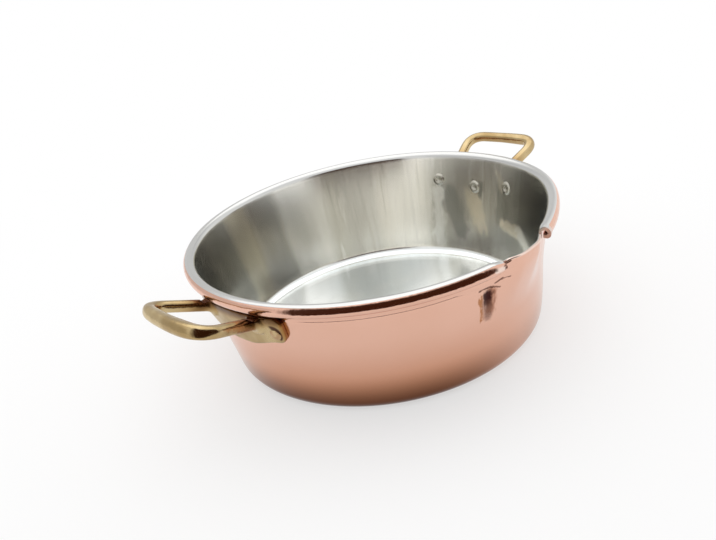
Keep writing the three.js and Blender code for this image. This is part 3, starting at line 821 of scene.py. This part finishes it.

# %% [markdown]
# ## Wiped tin
# Molten tin is wiped round with a pad of tow. Down the wall the strokes leave broad patches and
# soft streaks, and on the base and the rim they follow the circle. Painted reflections lie over
# them: bright and grey bands down the wall, sides painted darker towards both handles, light, cream
# and dark patches by the right handle's rivets, and a grey hourglass on the base.

# %% Tin: wall and its painted reflections
BRIGHTEST = 45.0  # degrees: from here the tin is painted darker towards both handles, as painted reflection
REFLECTION_BANDS = (  # painted reflections down the wall: middle and half the width in degrees, tone, strength
    (76, 10, (1.0, 0.985, 0.93), 0.85), (51, 9, (0.66, 0.65, 0.60), 0.6),
    (30, 8, (0.97, 0.96, 0.91), 0.6), (92, 7, (0.56, 0.56, 0.53), 0.7),
    (107, 7, (0.80, 0.76, 0.63), 0.8), (12, 7, (0.70, 0.68, 0.60), 0.6),
)
DARK, CREAM, PALE = (0.40, 0.40, 0.36), (0.96, 0.89, 0.74), (1.0, 0.99, 0.93)
WALL_REFLECTIONS = (  # painted reflections, light and dark: start and end along the wall from the +X axis and up, width, tone, strength
    ((28, 58), (15, 26), 17, DARK, 0.8), ((2, 58), (-8, 32), 15, CREAM, 0.8),
    ((-32, 66), (-35, 42), 14, DARK, 0.9), ((-6, 66), (-7, 62), 10, DARK, 0.9),
    ((-29, 80), (-31, 70), 6, CREAM, 0.4), ((40, 60), (40, 14), 11, PALE, 0.8),
    ((-38, 38), (-62, 37), 9, CREAM, 0.9), ((-62, 37), (-82, 26), 10, PALE, 0.9),
)


def wipe_wall(around, angle, wall, broad, streaks):
    """The colour of the wall: a base tone, streaks and wisps, then painted reflections: darker
    sides and bands.
    """
    turn = angle * math.degrees(1) + (broad - 0.5) * 9
    off = abs(angle.node("Math", {"operation": "WRAP"}, {0: turn - BRIGHTEST, 1: 180.0, 2: -180.0}))
    wisps = around.stretched(1, 1, 0.22).noise(32, 3, 0.6)
    # the last tint paints the sides darker towards both handles, as painted reflection
    colour = angle.paint((0.90, 0.88, 0.81)).tint(
        ((0.60, 0.59, 0.52), broad.ramp(0.46, 0.56) * wall * 0.6),
        ((0.96, 0.94, 0.88), streaks.ramp(0.54, 0.62) * wall * 0.6),
        ((0.52, 0.50, 0.43), wisps.ramp(0.50, 0.66) * wall * 0.35),
        ((0.42, 0.42, 0.39), off.ramp(40, 66) * off.fall(104, 130) * wall * 0.8))
    # painted reflections: bright and grey bands at set angles down the wall
    return colour.tint(*((tone, turn.near(middle, half - 4, half + 2) * wall * strength)
                         for middle, half, tone, strength in REFLECTION_BANDS))


def paint_wall_reflections(colour, place, angle, z, wall, streaks):
    """Lays painted reflections over a colour, light and dark patches by the rivets and a large dark
    one, as ragged strokes on the unrolled wall.
    """
    patchy = place.stretched(1, 1, 0.4).noise(170, 4, 0.7)
    s = angle * BEAD_CENTRE * 0.96 + (patchy - 0.5) * 26
    up = z * 1000 + (patchy - 0.5) * 14
    # painted dark reflection: a large dark patch towards the spout
    black = s.fall(-66, -46) * s.ramp(-150, -120) * up.ramp(36, 44)
    layers = [((0.26, 0.26, 0.24), black * wall * 0.75)]
    for start, end, width, tone, strength in WALL_REFLECTIONS:
        blot = stroke(s, up, start, end, width) * (0.5 + 0.8 * streaks)
        layers.append((tone, blot.ramp(0.05, 0.75) * wall * strength))
    return colour.tint(*layers)


print("the wall has", len(REFLECTION_BANDS), "bands and", len(WALL_REFLECTIONS), "stains")

# %% Tin: base, rim and the whole
SECTOR_AT = 48.0  # degrees: the grey hourglass of painted reflection on the base lies along this line
DARK_RING_AT = 0.1153  # radius of the dark ring line, in metres


def wipe_base(colour, place, angle, radius, on_base):
    """Lays the tones of the base over a colour: pale, a grey hourglass of painted reflection,
    smears and a dark ring line.
    """
    # painted reflection: a grey hourglass across the base, fading near the corner
    sector = abs(place.math("COSINE", angle - math.radians(SECTOR_AT))).ramp(0.62, 1.0)
    off_axis = radius.ramp(0.0, 0.05)
    sector = (sector * off_axis + 0.4 * (1 - off_axis)) * (1 - radius.ramp(0.101, 0.106) * 0.5)
    smears = place.stretched(1, 1.8, 1).noise(16, 3, 0.55).ramp(0.45, 0.62)
    dark_ring = radius.near(DARK_RING_AT, 0.0003, 0.0011)
    return colour.tint(
        ((0.92, 0.95, 0.965), on_base), ((0.56, 0.60, 0.61), on_base * sector),
        ((0.66, 0.68, 0.67), on_base * smears * 0.3), ((0.45, 0.46, 0.45), on_base * dark_ring * 0.55))


def tin_finish():
    material, place, (x, y, z, radius) = start_metal("wiped_tin")
    angle = place.math("ARCTAN2", y, x)
    on_base, on_rim = z.fall(0.003, 0.009), z.ramp(0.089, 0.092)
    wall = (1 - on_base) * (1 - on_rim)
    around = place.node("CombineXYZ", {}, {"X": x / radius, "Y": y / radius, "Z": z * 2.2})
    broad = around.noise(3.2, 1, 0.4)
    streaks = around.stretched(1, 1, 0.5).noise(11, 2, 0.5)
    rings = place.node("CombineXYZ", {}, {"X": radius * 420, "Y": angle * 0.6}).noise(1, 3)
    colour = wipe_wall(around, angle, wall, broad, streaks)
    colour = paint_wall_reflections(colour, place, angle, z, wall, streaks)
    colour = wipe_base(colour, place, angle, radius, on_base)
    colour = colour.tint(((0.62, 0.62, 0.61), on_rim * (0.8 + 0.2 * rings.ramp(0.35, 0.65))))
    roughness = 0.15 + broad * 0.10 + streaks * 0.05 - on_base * 0.02 - on_rim * 0.06
    height = streaks * wall * 1.2 + rings * (on_base + on_rim) * 0.5
    return finish_metal(material, colour, roughness, height, 0.00010)


finishes["tin"] = tin_finish()

# %% [markdown]
# ## Cast brass
# Under the polish the handles keep a trace of the sand, and they are a little lumpy. Brass goes
# brown where no cloth reaches, against the wall and under the bead, and there the brown is deepened
# as painted shade. The ends of the plates are browner too. Where the arms meet the bead lies a
# near-black painted shade, and round each outer rivet a dark crescent of painted shade.

# %% Brass
CRESCENT_AT = 4.9  # mm from the middle of an outer rivet, where the painted dark crescent lies


def brass_finish():
    material, place, (x, y, z, radius) = start_metal("cast_brass")
    clouds, sand, lumps = place.noise(38, 3), place.noise(1500, 2), place.noise(140, 2)
    # brown patina against the wall and under the bead, deepened as painted shade
    patina_and_shade = radius.fall(0.1385, 0.150) * (0.25 + clouds * 0.8)
    browned_and_shaded = radius.fall(0.150, 0.170) * z.ramp(0.073, 0.079)
    # painted shade: near-black where the arms meet the bead, under it
    shade_under_bead = radius.fall(0.1450, 0.1590) * z.ramp(0.0745, 0.0815)
    # painted shade: a dark crescent round each outer rivet, on its upper, outer side
    across = abs(place.math("ARCTAN2", y, abs(x)) * WALL_TOP) - RIVET_APART
    up = z * 1000 - RIVET_Z
    dark_crescent = ((across * across + up * up) ** 0.5).near(CRESCENT_AT, 1.0, 2.4)
    worn = across.ramp(5.2, 7.4) * radius.fall(0.144, 0.147)
    colour = place.paint((0.62, 0.485, 0.27)).tint(
        ((0.36, 0.24, 0.10), clouds.ramp(0.38, 0.66) * 0.8),
        ((0.32, 0.21, 0.085), patina_and_shade * 0.5), ((0.40, 0.23, 0.08), browned_and_shaded * 0.7),
        ((0.08, 0.03, 0.01), shade_under_bead * (0.55 + clouds * 0.6)),
        ((0.06, 0.02, 0.01), dark_crescent * (up * 0.5 + across).ramp(-0.5, 2.2) * 0.95),
        ((0.40, 0.20, 0.06), worn * clouds.ramp(0.30, 0.55) * 0.8))
    roughness = 0.11 + clouds * 0.14 + patina_and_shade * 0.2
    return finish_metal(material, colour, roughness, lumps * 7.5 + sand * 0.35, 0.00004)


finishes["cast_brass"] = brass_finish()

# %% [markdown]
# ## The metal of the rivets
# The tails are a blotchy brown brass. The heads took a wash of tin with the inside of the pan, and
# the distance from the pan's axis tells the two ends apart.

# %% Rivets: tinned head, bare tail
def rivet_finish():
    material, place, (*_, radius) = start_metal("rivet_metal")
    clouds = place.noise(300, 2)
    colour = place.paint((0.56, 0.42, 0.23)).tint(
        ((0.36, 0.18, 0.09), clouds.ramp(0.35, 0.65) * 0.6),
        ((0.54, 0.52, 0.45), radius.fall(0.1345, 0.1355)))
    return finish_metal(material, colour, 0.22 + clouds * 0.12, clouds, 0.00015)


finishes["rivet_metal"] = rivet_finish()

# %% [markdown]
# ## Into the frame
# Every piece rides on the pan's one body, hides the solid whose place it takes, and gets the finish
# made for its metal.

# %% Put the new pieces into the frame
dressed = [(pan, "pan_body", "copper"), (tin, "tin_lining", "tin"),
           (handle_right, "handle_right", "cast_brass"), (handle_left, "handle_left", "cast_brass")]
dressed += [(piece, node, "rivet_metal") for node, piece in rivets.items()]
for piece, node, slot in dressed:
    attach(piece, "root")
    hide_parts(node)
    piece.data.materials.append(finishes[slot])
print(len(dressed), "pieces stand for", len(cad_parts), "solids")

# %% [markdown]
# ## The camera
# Its place, turn and lens were worked out from the rim, the wall's outline and the line where the
# pan meets the table. It looks down by about 25 degrees and is rolled, so the rim rises rightward.

# %% Camera
camera = bpy.data.cameras.new("camera")
camera.lens, camera.sensor_width = 35.458, 36
eye = link_object("camera", camera)
eye.location = (-0.34136, -0.37542, 0.28954)
eye.rotation_euler = [math.radians(a) for a in (64.140, 10.248, -45.320)]
bpy.context.scene.camera = eye
bpy.context.scene.view_settings.view_transform = "Standard"
print("the camera stands", round(eye.location.length, 3), "m from the middle of the base")

# %% [markdown]
# ## The studio
# Polished metal shows what stands round it: here a white table in a white room. The table takes
# the pan's shadow, but to the eye and in reflections it also glows, more so further out.

# %% Table
TABLE, TABLE_Z = 4.0, -0.0004  # radius and height in metres, a hair below the pan


def disc(radius, rings, sides):
    """Points on circles round the origin, whose radii grow with the power 1.5 of their number."""
    r = radius * np.linspace(0, 1, rings + 1)[1:] ** 1.5
    a = np.linspace(0, 2 * math.pi, sides, endpoint=False)
    grid = np.stack([r[:, None] * np.cos(a), r[:, None] * np.sin(a), np.zeros((rings, sides))], -1)
    points = np.concatenate([grid.reshape(-1, 3), [[0, 0, 0]]])
    j = np.arange(sides)
    middle = np.stack([np.full(sides, rings * sides), j, (j + 1) % sides], -1)
    return points, [grid_faces(rings, sides, closed=True)[:, ::-1], middle]


def seen_directly(wire):
    """1 where the eye, a reflection or glass looks, and 0 for the light that spreads."""
    camera, glossy, glass = (wire.node("LightPath", output=f"Is {kind} Ray")
                             for kind in ("Camera", "Glossy", "Transmission"))
    return camera + glossy + glass


def stage_piece(name, points, faces, paint_name, look):
    """A piece of the studio, from points in metres; look makes its surface from the place on it."""
    piece = add_mesh(name, points, faces)
    material = bpy.data.materials.new(paint_name)
    material.use_nodes = True
    material.node_tree.nodes.clear()
    place = Wire(material.node_tree).node("TexCoord", output="Object")
    place.node("OutputMaterial", {}, {"Surface": look(place)})
    piece.data.materials.append(material)
    print(name, "has", len(points), "points")
    return piece


def table_look(place):
    """Matt white mixed with its own glow, by how far out it is and who looks."""
    x, y, _ = place.parts()
    far = ((x * x + y * y) ** 0.5).ramp(0.25, 0.75)
    matt = place.node("BsdfDiffuse", {}, {"Color": (0.93, 0.93, 0.93, 1)})
    white = place.node("Emission", {}, {"Color": (1, 1, 1, 1), "Strength": 1.0})
    glow = (0.55 + 0.45 * far) * seen_directly(place)
    return place.node("MixShader", {}, {0: glow, 1: matt, 2: white})


table_points, table_faces = disc(TABLE, rings=40, sides=96)
stage_piece("table", table_points + [0, 0, TABLE_Z], table_faces, "table_white", table_look)

# %% [markdown]
# ## Light from above
# One large softbox hangs above and behind the pan, and the soft shadow falls to the front.

# %% Softbox
softbox = bpy.data.lights.new("softbox", "AREA")
softbox.shape = "RECTANGLE"
softbox.size, softbox.size_y = 1.3, 1.3
softbox.energy = 3.0
hung = link_object("softbox", softbox)
hung.location = (0.26, 0.29, 0.95)
print("the softbox hangs", round(hung.location.z, 2), "m above the table")

# %% [markdown]
# ## What the metal mirrors
# By the camera a dark flag leans in towards the pan: it draws the brown band along the bead. A grey
# sweep behind and on the left gives the tin and the brass their middle tones. Both are bent cards
# that only reflections see, and their edges melt into the white of the room.

# %% Flag and sweep
CARD_LEVELS = 24


def card(name, paint_name, tone, middle, half, soft, stations, foot, head, top, fades):
    """A card bent round the pan: (r cos a, r sin a, z), with r going from foot to head over z.

    It spans half degrees on either side of the middle, of which the last soft ones fade to white,
    as does its height from fades to the top. Lengths are in metres.
    """
    a = np.radians(np.linspace(middle - half, middle + half, stations))[:, None]
    z = np.linspace(0.0, top, CARD_LEVELS)
    r = foot + (head - foot) * z / top
    points = np.stack([np.cos(a) * r, np.sin(a) * r, z + 0 * a], -1).reshape(-1, 3)

    def look(place):
        x, y, height = place.parts()
        side = math.radians(middle)
        ahead = (x * math.cos(side) + y * math.sin(side)) / (x * x + y * y) ** 0.5
        edge = place.math("ARCCOSINE", ahead).ramp(math.radians(half - soft), math.radians(half))
        shade = place.paint(tone).tint(((1, 1, 1), edge.larger(height.ramp(fades, top))))
        return place.node("Emission", {}, {"Color": shade, "Strength": 1.0})

    piece = stage_piece(name, points, [grid_faces(stations, CARD_LEVELS)], paint_name, look)
    piece.visible_camera = piece.visible_diffuse = piece.visible_shadow = False
    return piece


card("flag", "flag_dark", (0.055, 0.022, 0.012), middle=-129.0, half=47.0, soft=8.0,
     stations=60, foot=0.28, head=0.19, top=0.275, fades=0.20)
card("sweep", "sweep_grey", (0.74, 0.74, 0.74), middle=95.0, half=90.0, soft=math.degrees(0.4),
     stations=72, foot=1.6, head=1.6, top=1.5, fades=0.9)

# %% [markdown]
# ## The room
# The world is plain white to the eye and in reflections, and a little darker as a light.

# %% World
ROOM_LIGHT = 0.90
world = bpy.data.worlds.new("studio")
bpy.context.scene.world = world
world.use_nodes = True
sky = Wire(world.node_tree)
level = sky.paint((ROOM_LIGHT,) * 3).tint(((1, 1, 1), seen_directly(sky)))
level.into(world.node_tree.nodes["Background"].inputs["Color"])
print("the room gives", ROOM_LIGHT, "of white as light")

# %% [markdown]
